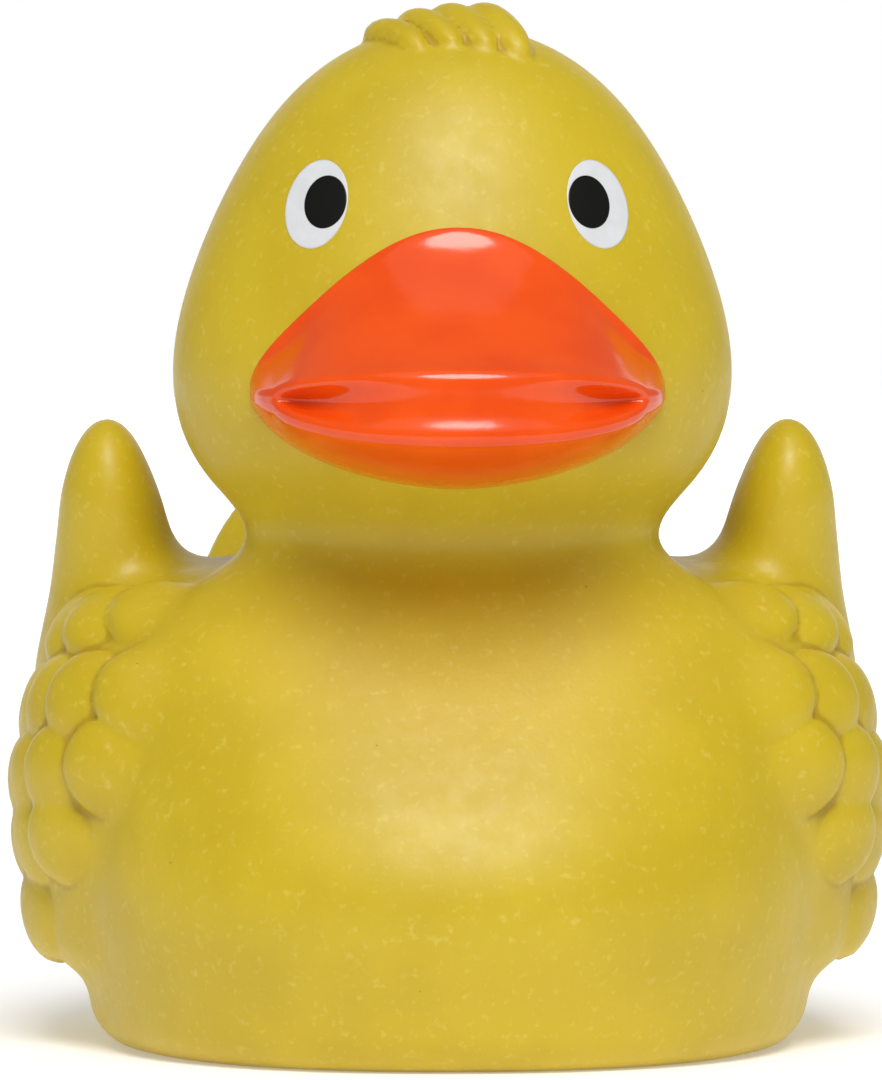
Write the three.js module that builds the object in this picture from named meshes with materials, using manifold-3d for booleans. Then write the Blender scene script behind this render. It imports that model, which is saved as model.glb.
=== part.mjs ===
// A bath duck cast in one piece: body, neck, head, wings, tail, crest and bill run into one another, and the
// eyes are printed films. It faces -Y, stands on z = 0 and is the same on both sides of x = 0. Millimetres.
import * as THREE from "three";
import Module from "manifold-3d";

const wasm = await Module();
wasm.setup();

// Trunk, from the base up. A rise is measured from the level below, a reach from the origin along Y.
const BASE_WIDTH = 59;
const BASE_FRONT = 31.5;
const BASE_BACK = 34;
const BASE_EDGE_ROUND = 3.2;
const BILGE_RISE = 11;
const BILGE_WIDTH = 63.4;
const BILGE_FRONT = 34.6;
const BILGE_BACK = 37;
const BELLY_RISE = 13;
const BELLY_WIDTH = 62;
const BELLY_FRONT = 30.2;
const BELLY_BACK = 33;
const SHOULDER_RISE = 10;
const SHOULDER_WIDTH = 54;
const SHOULDER_FRONT = 23.6;
const SHOULDER_BACK = 22;
const COLLAR_RISE = 4.6;
const COLLAR_WIDTH = 41.4;
const COLLAR_FRONT = 20.9;
const COLLAR_BACK = 11.5;
const NECK_RISE = 3.2;
const NECK_WIDTH = 34.2;
const NECK_FRONT = 19.8;
const NECK_BACK = 6.8;
const JOWL_RISE = 5.2;
const JOWL_WIDTH = 39.6;
const JOWL_FRONT = 23.4;
const JOWL_BACK = 9.8;
const CHEEK_RISE = 9;
const HEAD_WIDTH = 45.8;
const FACE_REACH = 28;
const NAPE_REACH = 13;
const CROWN_RISE = 28.3;
const CROWN_TAPER = 1.2;
const BODY_CENTRE_BACK = 1;
const HEAD_CENTRE_FRONT = 10.8;
const BODY_SQUARENESS = 2.25;
const HEAD_SQUARENESS = 2.05;

// Wings: one wide form across the body, level by level, that shows as a pad on each flank
const WING_FOOT = 4;
const WING_TOP = 41;
const WING_SQUARENESS = 2.7;
const WING_LOW_RISE = 6;
const WING_LOW_WIDTH = 68.2;
const WING_LOW_FRONT = 22;
const WING_LOW_BACK = 27;
const WING_PAD_RISE = 11;
const WING_PAD_WIDTH = 70.4;
const WING_PAD_FRONT = 27;
const WING_PAD_BACK = 29;
const WING_ROOT_RISE = 12;
const WING_ROOT_WIDTH = 65.2;
const WING_ROOT_FRONT = 23;
const WING_ROOT_BACK = 24;
const WING_SHELF_RISE = 6;
const WING_SHELF_WIDTH = 63;
const WING_SHELF_FRONT = 15;
const WING_SHELF_BACK = 11;
const WING_CENTRE_BACK = 3;
const WING_FOOT_CLOSE = 8;
const WING_TOP_CLOSE = 10.4;
const WING_BEND = 3;

// Thumbs: the upright wing tips
const THUMB_FOOT = 24;
const THUMB_FOOT_OUT = 26.3;
const THUMB_FOOT_BACK = 7;
const THUMB_FOOT_THICK = 16;
const THUMB_FOOT_LENGTH = 20;
const THUMB_RISE = 27.8;
const THUMB_OUT = 28.4;
const THUMB_BACK = 2;
const THUMB_THICK = 7.2;
const THUMB_LENGTH = 10;
const THUMB_FOOT_CLOSE = 8;
const THUMB_TIP_CLOSE = 7.5;

// Feathers on the wings: coverts in rows from the front edge, then long flight feathers behind them
const COVERT_COUNTS = [3, 4, 5, 5, 4];
const COVERT_TOP = 36.2;
const COVERT_ROW_PITCH = 6.2;
const COVERT_COLUMN_DROP = 0.6;
const COVERT_FRONT_ANGLE = -47;
const COVERT_ROW_BEND = 3;
const COVERT_COLUMN_PITCH = 12.5;
const COVERT_LENGTH = 11.6;
const COVERT_WIDTH = 8.2;
const COVERT_THICK = 3.8;
const COVERT_RISE_ANGLE = 10;
const FLIGHT_COUNT = 3;
const FLIGHT_TOP = 27;
const FLIGHT_PITCH = 5.8;
const FLIGHT_ANGLE = 40;
const FLIGHT_LENGTH = 16;
const FLIGHT_WIDTH = 7;
const FLIGHT_THICK = 3.4;
const FLIGHT_RISE_ANGLE = 16;
const FEATHER_TIP_LIFT = 10;
const FEATHER_SINK = 0.5;
const FEATHER_ROOT = 3;

// Tail: a broad leaf that leans back as it rises
const TAIL_FOOT = 12;
const TAIL_ROOT_RISE = 22;
const TAIL_HEIGHT = 17;
const TAIL_WIDTH = 41.8;
const TAIL_FOOT_THICK = 36;
const TAIL_ROOT_THICK = 16;
const TAIL_TIP_THICK = 8;
const TAIL_FOOT_BACK = 17;
const TAIL_ROOT_BACK = 29.6;
const TAIL_TIP_BACK = 36.4;

// Crest: slanting locks side by side over the front of the crown
const LOCK_COUNT = 4;
const LOCK_PITCH = 2.6;
const LOCK_LENGTH = 8.8;
const LOCK_LEAN = 5;
const LOCK_SMALL = 3.2;
const LOCK_LARGE = 4.6;
const LOCK_SINK = 0;
const CREST_FRONT = 3.5;
const CREST_SIDE = -0.8;

// Bill: a wide flared beak with a shallow mouth face between two rounded lips
const BILL_WIDTH = 33.6;
const BILL_LENGTH = 10.5;
const BILL_RIDGE_RISE = 7.6;
const BILL_CORNER_RISE = 5;
const BILL_DROP = 8.8;
const MOUTH_DROP = 0.7;
const MOUTH_WIDTH = 29.6;
const MOUTH_HOLLOW = 0.15;
const MOUTH_CORNER_HOLLOW = 1.8;
const UPPER_LIP_LIFT = 0.5;
const LOWER_LIP_DROP = 3.3;
const LOWER_LIP_LEAD = 0.8;
const UPPER_LIP_ROUND = 0.7;
const LOWER_LIP_ROUND = 1;
const BILL_MARGIN = 1.1;
const BILL_MARGIN_STEP = 0.25;
const BILL_ROOT_DEPTH = 5;
const BILL_ROOT_PULL = 4.8;
const BILL_LIP_PULL = 5;
const BILL_CENTRE_TURN = 5;
const BILL_SIDE_TURN = 55;
const BILL_LIP_TURN = 68;
const BILL_RIDGE_BEND = 1.9;
const BILL_CORNER_BEND = 4;
const BILL_CHIN_BEND = 1.8;
const BILL_CHIN_FALL = 0.55;
const BILL_PLAN_BEND = 2.4;
const BILL_UNDER_BEND = 2;
const BILL_LIP_FALL = 9;
const MOUTH_BEND = 0.8;
const UPPER_LIP_TURNS = [80, 0];
const BILL_MARGIN_BEND = 3;
const MOUTH_CORNER_BEND = 4;
const LOWER_LIP_TURN = 32;
const LOWER_LIP_END_TURN = -60;

// Eyes: printed ovals that lean in at the top
const EYE_SPREAD = 22.8;
const EYE_RISE = 13.6;
const EYE_WIDTH = 5.6;
const EYE_HEIGHT = 7.7;
const EYE_LEAN = 9;
const PUPIL_WIDTH = 3.7;
const PUPIL_HEIGHT = 4.6;
const PUPIL_INSET = 0.85;
const PRINT_THICK = 0.15;

// Fineness of the mesh
const BASE_EDGE_RINGS = 4;
const TRUNK_RINGS = 20;
const CROWN_RINGS = 10;
const TRUNK_AROUND = 44;
const WING_RINGS = 13;
const WING_AROUND = 40;
const THUMB_RINGS = 11;
const THUMB_AROUND = 14;
const TAIL_RINGS = 11;
const TAIL_AROUND = 22;
const FEATHER_RINGS = 6;
const FEATHER_AROUND = 4;
const LOCK_RINGS = 8;
const LOCK_AROUND = 8;
const BILL_COLUMNS = 24;
const BILL_END_SHARE = 0.99;
const SLOPE_POINTS = 7;
const LIP_POINTS = 3;
const FACE_POINTS = 3;
const UNDER_POINTS = 4;
const EYE_AROUND = 20;

const radians = THREE.MathUtils.degToRad;

// Levels of the trunk
const bilge = BILGE_RISE;
const belly = bilge + BELLY_RISE;
const shoulder = belly + SHOULDER_RISE;
const collar = shoulder + COLLAR_RISE;
const neck = collar + NECK_RISE;
const jowl = neck + JOWL_RISE;
const cheek = jowl + CHEEK_RISE;

// A curve through [place, value] pairs that bends evenly and is level at both ends
function smoothThrough(pairs) {
  const spans = pairs.slice(1).map(([at], i) => at - pairs[i][0]);
  const steps = pairs.slice(1).map(([, value], i) => (value - pairs[i][1]) / spans[i]);
  const slopes = pairs.map(() => 0);
  for (let pass = 0; pass < 40; pass += 1) {
    for (let i = 1; i < spans.length; i += 1) {
      const before = (3 * steps[i - 1] - slopes[i - 1]) / spans[i - 1];
      const after = (3 * steps[i] - slopes[i + 1]) / spans[i];
      slopes[i] = (before + after) / (2 / spans[i - 1] + 2 / spans[i]);
    }
  }
  return (place) => {
    const at = THREE.MathUtils.clamp(place, pairs[0][0], pairs[pairs.length - 1][0]);
    let i = 0;
    while (i < spans.length - 1 && at > pairs[i + 1][0]) i += 1;
    const t = (at - pairs[i][0]) / spans[i];
    const lean = (1 - t) * (slopes[i] - steps[i]) - t * (slopes[i + 1] - steps[i]);
    return pairs[i][1] + spans[i] * t * (steps[i] + (1 - t) * lean);
  };
}

// Half of an oval: 1 at the start of the rise and 0 at its end
const oval = (share) => Math.sqrt(Math.max(0, 1 - share * share));

// Curves along a form: one value at each of its levels
const alongLevels = (levels) => (values) => smoothThrough(levels.map((level, i) => [level, values[i]]));

// Outline of the trunk at each level
const alongTrunk = alongLevels([0, bilge, belly, shoulder, collar, neck, jowl, cheek]);
const trunkWidth = alongTrunk([
  BASE_WIDTH, BILGE_WIDTH, BELLY_WIDTH, SHOULDER_WIDTH, COLLAR_WIDTH, NECK_WIDTH, JOWL_WIDTH, HEAD_WIDTH,
]);
const trunkFront = alongTrunk([
  BASE_FRONT, BILGE_FRONT, BELLY_FRONT, SHOULDER_FRONT, COLLAR_FRONT, NECK_FRONT, JOWL_FRONT, FACE_REACH,
]);
const trunkBack = alongTrunk([
  BASE_BACK, BILGE_BACK, BELLY_BACK, SHOULDER_BACK, COLLAR_BACK, NECK_BACK, JOWL_BACK, NAPE_REACH,
]);
const trunkCentre = smoothThrough([[bilge, BODY_CENTRE_BACK], [neck, -HEAD_CENTRE_FRONT]]);
const trunkSquareness = smoothThrough([[shoulder, BODY_SQUARENESS], [neck, HEAD_SQUARENESS]]);

// Share of the head's width that is left at a share of the crown's rise
const crownShare = (rise) => Math.sqrt(Math.max(0, 1 - rise * rise * (1 + CROWN_TAPER * (1 - rise) ** 2)));

// Oval section of the trunk at a height: the base edge is rounded, and the head closes in above the cheeks
function trunkSection(z) {
  const centre = trunkCentre(z);
  const inset = BASE_EDGE_ROUND * (1 - oval(Math.max(0, 1 - z / BASE_EDGE_ROUND)));
  const share = crownShare(Math.max(0, (z - cheek) / CROWN_RISE));
  return {
    x: 0,
    y: centre,
    z,
    halfWidth: (trunkWidth(z) / 2 - inset) * share,
    front: (trunkFront(z) + centre - inset) * share,
    back: (trunkBack(z) - centre - inset) * share,
    squareness: trunkSquareness(z),
  };
}

// Front surface of the trunk at a place across and up
function faceAt(x, z) {
  const { y, halfWidth, front, squareness } = trunkSection(z);
  const across = Math.min(1, Math.abs(x) / halfWidth);
  return y - front * (1 - across ** squareness) ** (1 / squareness);
}

// Height of the crown over a place on the head
function crownAt(x, y) {
  const reach = y < -HEAD_CENTRE_FRONT ? FACE_REACH - HEAD_CENTRE_FRONT : NAPE_REACH + HEAD_CENTRE_FRONT;
  const share = Math.hypot((2 * x) / HEAD_WIDTH, (y + HEAD_CENTRE_FRONT) / reach);
  let low = 0;
  let high = 1;
  for (let halving = 0; halving < 30; halving += 1) {
    const middle = (low + high) / 2;
    if (crownShare(middle) > share) low = middle;
    else high = middle;
  }
  return cheek + CROWN_RISE * low;
}

// Share of a form that is left near its rounded ends, which start at a low and a high level
function closing(z, low, lowRise, high, highRise, bend) {
  const end = Math.max(0, (low - z) / lowRise, (z - high) / highRise);
  return Math.max(0, 1 - end ** bend) ** (1 / bend);
}

// Section of the wings: one oval across the whole body
const wingLow = WING_FOOT + WING_LOW_RISE;
const wingPad = wingLow + WING_PAD_RISE;
const wingRoot = wingPad + WING_ROOT_RISE;
const wingShelf = wingRoot + WING_SHELF_RISE;
const alongWing = alongLevels([wingLow, wingPad, wingRoot, wingShelf]);
const wingWidth = alongWing([WING_LOW_WIDTH, WING_PAD_WIDTH, WING_ROOT_WIDTH, WING_SHELF_WIDTH]);
const wingFront = alongWing([WING_LOW_FRONT, WING_PAD_FRONT, WING_ROOT_FRONT, WING_SHELF_FRONT]);
const wingBack = alongWing([WING_LOW_BACK, WING_PAD_BACK, WING_ROOT_BACK, WING_SHELF_BACK]);

function wingSection(z) {
  const [low, high] = [WING_FOOT + WING_FOOT_CLOSE, WING_TOP - WING_TOP_CLOSE];
  const share = closing(z, low, WING_FOOT_CLOSE, high, WING_TOP_CLOSE, WING_BEND);
  return {
    x: 0,
    y: WING_CENTRE_BACK,
    z,
    halfWidth: (wingWidth(z) / 2) * share,
    front: (wingFront(z) + WING_CENTRE_BACK) * share,
    back: (wingBack(z) - WING_CENTRE_BACK) * share,
    squareness: WING_SQUARENESS,
  };
}

// Section of a thumb; hand is 1 on the +X side and -1 on the other
const thumbTop = THUMB_FOOT + THUMB_RISE;
const alongThumb = alongLevels([THUMB_FOOT, thumbTop]);
const thumbOut = alongThumb([THUMB_FOOT_OUT, THUMB_OUT]);
const thumbBack = alongThumb([THUMB_FOOT_BACK, THUMB_BACK]);
const thumbThick = alongThumb([THUMB_FOOT_THICK, THUMB_THICK]);
const thumbLength = alongThumb([THUMB_FOOT_LENGTH, THUMB_LENGTH]);

const thumbSection = (hand) => (z) => {
  const [low, high] = [THUMB_FOOT + THUMB_FOOT_CLOSE, thumbTop - THUMB_TIP_CLOSE];
  const share = closing(z, low, THUMB_FOOT_CLOSE, high, THUMB_TIP_CLOSE, 2);
  const halfLength = (thumbLength(z) / 2) * share;
  return {
    x: hand * thumbOut(z),
    y: thumbBack(z),
    z,
    halfWidth: (thumbThick(z) / 2) * share,
    front: halfLength,
    back: halfLength,
    squareness: 2,
  };
};

// Section of the tail
const tailRoot = TAIL_FOOT + TAIL_ROOT_RISE;
const tailTop = tailRoot + TAIL_HEIGHT;
const alongTail = alongLevels([TAIL_FOOT, tailRoot, tailTop]);
const tailBack = alongTail([TAIL_FOOT_BACK, TAIL_ROOT_BACK, TAIL_TIP_BACK]);
const tailThick = alongTail([TAIL_FOOT_THICK, TAIL_ROOT_THICK, TAIL_TIP_THICK]);

function tailSection(z) {
  const share = closing(z, tailRoot, TAIL_ROOT_RISE, tailRoot, TAIL_HEIGHT, 2);
  const halfThick = (tailThick(z) / 2) * share;
  return {
    x: 0,
    y: tailBack(z),
    z,
    halfWidth: (TAIL_WIDTH / 2) * share,
    front: halfThick,
    back: halfThick,
    squareness: 2,
  };
}

// Ring of points round an oval section
function ovalRing({ x, y, z, halfWidth, front, back, squareness }, around) {
  const bend = (value) => Math.sign(value) * Math.abs(value) ** (2 / squareness);
  return Array.from({ length: around }, (_, i) => {
    const angle = (2 * Math.PI * i) / around;
    const side = bend(Math.sin(angle));
    return new THREE.Vector3(x + halfWidth * bend(Math.cos(angle)), y + side * (side < 0 ? front : back), z);
  });
}

// Places from low to high, closer together towards both ends and just short of them
function closingPlaces(low, high, count) {
  return Array.from({ length: count }, (_, i) =>
    low + ((high - low) * (1 - Math.cos((Math.PI * (i + 0.5)) / count))) / 2);
}

// Solid skinned over rings of equal length, with its ends closed to their middles
function solidOver(rings) {
  const around = rings[0].length;
  const ends = [rings[0], rings[rings.length - 1]].map((ring) =>
    ring.reduce((sum, point) => sum.add(point), new THREE.Vector3()).divideScalar(around));
  const points = [...rings.flat(), ...ends];
  const first = points.length - 2;
  const last = points.length - 1;
  const top = (rings.length - 1) * around;
  const triangles = [];
  for (let i = 0; i < around; i += 1) {
    const next = (i + 1) % around;
    triangles.push([first, next, i], [last, top + i, top + next]);
    for (let row = 0; row < top; row += around) {
      const above = row + around;
      triangles.push([row + i, row + next, above + next], [row + i, above + next, above + i]);
    }
  }
  const volume = triangles.reduce(
    (sum, [a, b, c]) => sum + points[a].dot(new THREE.Vector3().crossVectors(points[b], points[c])), 0);
  if (volume < 0) triangles.forEach((triangle) => triangle.reverse());
  return new wasm.Manifold(new wasm.Mesh({
    numProp: 3,
    vertProperties: Float32Array.from(points.flatMap((point) => point.toArray())),
    triVerts: Uint32Array.from(triangles.flat()),
  }));
}

const stacked = (heights, sectionAt, around) => solidOver(heights.map((z) => ovalRing(sectionAt(z), around)));

// Trunk with a film of a given thickness over it
function trunkSolid(film) {
  const shares = (count) => Array.from({ length: count }, (_, i) => (i + 1) / count);
  const heights = [
    0,
    ...shares(BASE_EDGE_RINGS).map((share) => BASE_EDGE_ROUND * (1 - Math.cos((Math.PI / 2) * share))),
    ...shares(TRUNK_RINGS).map((share) => THREE.MathUtils.lerp(BASE_EDGE_ROUND, cheek, share)),
    ...shares(CROWN_RINGS).map((share) => cheek + CROWN_RISE * Math.sin((Math.PI / 2) * share)),
  ];
  const filmed = (z) => {
    const section = trunkSection(z);
    const { halfWidth, front, back } = section;
    return { ...section, halfWidth: halfWidth + film, front: front + film, back: back + film };
  };
  return stacked(heights.slice(0, -1), filmed, TRUNK_AROUND);
}

// Place on the outer face of the +X wing, by the angle round its section from the side
function wingPlace(angle, z) {
  const { y, halfWidth, front, back } = wingSection(z);
  const bend = 2 / WING_SQUARENESS;
  const along = Math.sign(angle) * Math.abs(Math.sin(angle)) ** bend;
  return new THREE.Vector3(halfWidth * Math.cos(angle) ** bend, y + along * (angle < 0 ? front : back), z);
}

// The same rings on the +X side, or mirrored to the other side
const onSide = (hand, rings) => rings.map((ring) =>
  ring.map(({ x, y, z }) => new THREE.Vector3(hand * x, y, z)));

// Feather lying on the wing with its rounded tip lifted and pointing back
function feather(hand, angleDegrees, z, { length, width, thick, rise }) {
  const angle = radians(angleDegrees);
  const nudge = 0.01;
  const place = wingPlace(angle, z);
  const back = wingPlace(angle + nudge, z).sub(place).normalize();
  const up = wingPlace(angle, z + nudge).sub(place).normalize();
  const out = new THREE.Vector3().crossVectors(back, up).normalize();
  const along = back.multiplyScalar(Math.cos(radians(rise))).addScaledVector(up, Math.sin(radians(rise)));
  along.addScaledVector(out, -along.dot(out)).normalize();
  const side = new THREE.Vector3().crossVectors(out, along);
  along.applyAxisAngle(side, -radians(FEATHER_TIP_LIFT));
  out.applyAxisAngle(side, -radians(FEATHER_TIP_LIFT));
  place.addScaledVector(out, -FEATHER_SINK);
  const rings = closingPlaces(-1, 1, FEATHER_RINGS).map((run) => {
    const middle = place.clone().addScaledVector(along, (run * length) / 2);
    const at = (across, high) => middle.clone().addScaledVector(side, across).addScaledVector(out, high);
    const half = (width / 2) * oval(run);
    const dome = Array.from({ length: FEATHER_AROUND + 1 }, (_, i) => {
      const turn = (Math.PI * i) / FEATHER_AROUND;
      return at(half * Math.cos(turn), (thick / 2) * oval(run) * Math.sin(turn));
    });
    return [...dome, at(-half, -FEATHER_ROOT), at(half, -FEATHER_ROOT)];
  });
  return solidOver(onSide(hand, rings));
}

// Feathers of one wing
function feathers(hand) {
  const covert = { length: COVERT_LENGTH, width: COVERT_WIDTH, thick: COVERT_THICK, rise: COVERT_RISE_ANGLE };
  const flight = { length: FLIGHT_LENGTH, width: FLIGHT_WIDTH, thick: FLIGHT_THICK, rise: FLIGHT_RISE_ANGLE };
  const solids = [];
  COVERT_COUNTS.forEach((count, row) => {
    for (let column = 0; column < count; column += 1) {
      const angle = COVERT_FRONT_ANGLE + (row - 1) ** 2 * COVERT_ROW_BEND + column * COVERT_COLUMN_PITCH;
      const height = COVERT_TOP - row * COVERT_ROW_PITCH - column * COVERT_COLUMN_DROP;
      solids.push(feather(hand, angle, height, covert));
    }
  });
  for (let row = 0; row < FLIGHT_COUNT; row += 1) {
    solids.push(feather(hand, FLIGHT_ANGLE, FLIGHT_TOP - row * FLIGHT_PITCH, flight));
  }
  return solids;
}

// Thumb of one wing
const thumb = (hand) =>
  stacked(closingPlaces(THUMB_FOOT, thumbTop, THUMB_RINGS), thumbSection(hand), THUMB_AROUND);

// Lock of the crest, swept from behind the crown to its front end
function lockSolid(index) {
  const share = index / (LOCK_COUNT - 1);
  const radius = THREE.MathUtils.lerp(LOCK_SMALL, LOCK_LARGE, share) / 2;
  const middle = CREST_SIDE + (index - (LOCK_COUNT - 1) / 2) * LOCK_PITCH;
  const path = new THREE.CatmullRomCurve3([-0.5, 0, 0.5].map((run) => {
    const x = middle + run * LOCK_LEAN;
    const y = -HEAD_CENTRE_FRONT - CREST_FRONT - run * LOCK_LENGTH;
    return new THREE.Vector3(x, y, crownAt(x, y) - LOCK_SINK);
  }));
  const rings = closingPlaces(0, 1, LOCK_RINGS).map((run) => {
    const girth = radius * (1 - (2 * run - 1) ** 4) ** 0.5;
    const ahead = path.getTangent(run);
    const side = new THREE.Vector3().crossVectors(ahead, new THREE.Vector3(0, 0, 1)).normalize();
    const up = new THREE.Vector3().crossVectors(side, ahead);
    return Array.from({ length: LOCK_AROUND }, (_, i) => {
      const turn = (2 * Math.PI * i) / LOCK_AROUND;
      return path.getPoint(run)
        .addScaledVector(side, girth * Math.cos(turn))
        .addScaledVector(up, girth * Math.sin(turn));
    });
  });
  return solidOver(rings);
}

// Points between two places on a curve that leaves and arrives along given slopes
function eased(start, end, startSlope, endSlope, count) {
  return Array.from({ length: count }, (_, i) => {
    const t = (i + 1) / (count + 1);
    const arrived = t * t * (3 - 2 * t);
    const weights = [1 - arrived, t * (1 - t) ** 2, arrived, t * t * (t - 1)];
    const parts = [start, startSlope, end, endSlope];
    return [0, 1].map((axis) => parts.reduce((sum, part, k) => sum + weights[k] * part[axis], 0));
  });
}

// Points round a lip, from one turn to another above the way to the front
function roundLip([y, z], round, fromTurn, toTurn) {
  return Array.from({ length: LIP_POINTS }, (_, i) => {
    const turn = radians(THREE.MathUtils.lerp(fromTurn, toTurn, i / (LIP_POINTS - 1)));
    return [y - round * Math.cos(turn), z + round * Math.sin(turn)];
  });
}

// Slope along Y and Z with a length, turned forward from straight down
const forward = (turn, length) => [-length * Math.sin(radians(turn)), -length * Math.cos(radians(turn))];

// Section of the bill at a share of its half width, from the upper root round both lips to the lower root
function billRing(share) {
  const x = (share * BILL_WIDTH) / 2;
  const away = Math.abs(share);
  const mouth = cheek - MOUTH_DROP;
  const ridge = BILL_RIDGE_RISE * (1 - away ** 2) ** BILL_RIDGE_BEND;
  const top = mouth + ridge + BILL_CORNER_RISE * Math.sqrt(1 - away ** BILL_CORNER_BEND);
  const bottom = mouth - BILL_DROP * (1 - away ** BILL_CHIN_BEND) ** BILL_CHIN_FALL;
  const corner = faceAt(BILL_WIDTH / 2, mouth);
  const plan = (1 - away ** BILL_PLAN_BEND) ** (1 / BILL_PLAN_BEND);
  const lip = corner - (FACE_REACH + BILL_LENGTH + corner) * plan;
  const mouthShare = Math.min(1, (away * BILL_WIDTH) / MOUTH_WIDTH);
  const open = (1 - mouthShare ** 2) ** MOUTH_BEND;
  const soft = Math.sqrt(1 - away ** BILL_LIP_FALL);
  const upperRound = UPPER_LIP_ROUND * soft;
  const lowerRound = LOWER_LIP_ROUND * soft;
  const upperMiddle = [lip + LOWER_LIP_LEAD * open + upperRound, mouth + UPPER_LIP_LIFT * open];
  const lowerMiddle = [lip + lowerRound, mouth - lowerRound - LOWER_LIP_DROP * open];
  const upperLip = roundLip(upperMiddle, upperRound, ...UPPER_LIP_TURNS);
  const lowerLip = roundLip(lowerMiddle, lowerRound, LOWER_LIP_TURN, LOWER_LIP_END_TURN);

  // A painted margin flush with the face, then a slope that bends forward to the upper lip
  const margin = BILL_MARGIN * Math.sin(Math.PI * away ** BILL_MARGIN_BEND) ** 2;
  const edge = [faceAt(x, top) - BILL_MARGIN_STEP, top];
  const foot = [faceAt(x, top - margin) - BILL_MARGIN_STEP, top - margin];
  const size = Math.hypot(upperLip[0][0] - foot[0], upperLip[0][1] - foot[1]);
  const scale = (3 * size) / (BILL_LENGTH + BILL_RIDGE_RISE + BILL_CORNER_RISE);
  const rootTurn = THREE.MathUtils.lerp(BILL_CENTRE_TURN, BILL_SIDE_TURN, away);
  const rootSlope = forward(rootTurn, BILL_ROOT_PULL * scale);
  const lipSlope = forward(BILL_LIP_TURN, BILL_LIP_PULL * scale);
  const slope = eased(foot, upperLip[0], rootSlope, lipSlope, SLOPE_POINTS);

  // Mouth face, hollow between the lips and deeper inside the corners
  const faceTop = upperLip[upperLip.length - 1];
  const drop = faceTop[1] - lowerLip[0][1];
  const cornerHollow = MOUTH_CORNER_HOLLOW * Math.sin(Math.PI * mouthShare ** MOUTH_CORNER_BEND);
  const hollow = 4 * (MOUTH_HOLLOW * open + cornerHollow);
  const ledge = drop * Math.tan(radians(LOWER_LIP_TURN));
  const face = eased(faceTop, lowerLip[0], [hollow, -drop], [-ledge, -drop], FACE_POINTS);

  // Underside back to the chin, then the root inside the head
  const underside = Array.from({ length: UNDER_POINTS }, (_, i) => {
    const run = (i + 1) / UNDER_POINTS;
    const [front, high] = lowerLip[lowerLip.length - 1];
    const root = faceAt(x, bottom) + BILL_ROOT_DEPTH / 2;
    const fall = 1 - (1 - run) ** BILL_UNDER_BEND;
    return [THREE.MathUtils.lerp(front, root, run), THREE.MathUtils.lerp(high, bottom, fall)];
  });
  const behind = Math.max(faceAt(x, top), faceAt(x, bottom)) + BILL_ROOT_DEPTH;
  const points = [
    [faceAt(x, top) + BILL_ROOT_DEPTH / 2, top], edge, foot, ...slope,
    ...upperLip, ...face, ...lowerLip, ...underside,
    [behind, bottom], [behind, top],
  ];
  return points.map(([y, z]) => new THREE.Vector3(x, y, z));
}

function billSolid() {
  const shares = Array.from({ length: BILL_COLUMNS + 1 }, (_, i) =>
    BILL_END_SHARE * Math.sin(Math.PI * (i / BILL_COLUMNS - 0.5)));
  return solidOver(shares.map(billRing));
}

// Printed oval on one side of the face, cut from a film over the trunk
function printedOval(hand, filmLayers, width, height, inset) {
  const x = EYE_SPREAD / 2;
  const z = cheek + EYE_RISE;
  const nudge = 0.01;
  const place = new THREE.Vector3(x, faceAt(x, z), z);
  const across = new THREE.Vector3(x + nudge, faceAt(x + nudge, z), z).sub(place).normalize();
  const rise = new THREE.Vector3(x, faceAt(x, z + nudge), z + nudge).sub(place).normalize();
  const out = new THREE.Vector3().crossVectors(across, rise).normalize();
  const up = rise.applyAxisAngle(out, radians(EYE_LEAN));
  const side = new THREE.Vector3().crossVectors(up, out);
  place.addScaledVector(side, -inset);
  const depth = Math.min(EYE_WIDTH, EYE_HEIGHT) / 2;
  const rings = [-depth, depth].map((reach) => Array.from({ length: EYE_AROUND }, (_, i) => {
    const turn = (2 * Math.PI * i) / EYE_AROUND;
    return place.clone()
      .addScaledVector(out, reach)
      .addScaledVector(side, (width / 2) * Math.cos(turn))
      .addScaledVector(up, (height / 2) * Math.sin(turn));
  }));
  return trunkSolid(filmLayers * PRINT_THICK).intersect(solidOver(onSide(hand, rings)));
}

const bothSides = (make) => wasm.Manifold.union([1, -1].flatMap(make));

// The four finishes of the casting, in the order of the solids that carry them
const finishes = [
  new THREE.MeshStandardMaterial({ name: "skin_yellow", color: 0xd2b136, roughness: 0.5, metalness: 0 }),
  new THREE.MeshStandardMaterial({ name: "bill_orange", color: 0xee5a1c, roughness: 0.15, metalness: 0 }),
  new THREE.MeshStandardMaterial({ name: "eye_white", color: 0xdedfe0, roughness: 0.35, metalness: 0 }),
  new THREE.MeshStandardMaterial({ name: "eye_black", color: 0x0f0f0d, roughness: 0.3, metalness: 0 }),
];
const locks = Array.from({ length: LOCK_COUNT }, (_, i) => lockSolid(i));
const tail = stacked(closingPlaces(TAIL_FOOT, tailTop, TAIL_RINGS), tailSection, TAIL_AROUND);
const wings = stacked(closingPlaces(WING_FOOT, WING_TOP, WING_RINGS), wingSection, WING_AROUND);
const finished = [
  wasm.Manifold.union([trunkSolid(0), wings, bothSides(thumb), bothSides(feathers), tail, ...locks]),
  billSolid(),
  bothSides((hand) => printedOval(hand, 1, EYE_WIDTH, EYE_HEIGHT, 0)),
  bothSides((hand) => printedOval(hand, 2, PUPIL_WIDTH, PUPIL_HEIGHT, PUPIL_INSET)),
].map((solid) => solid.asOriginal());
const casting = wasm.Manifold.union(finished).getMesh();

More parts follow.
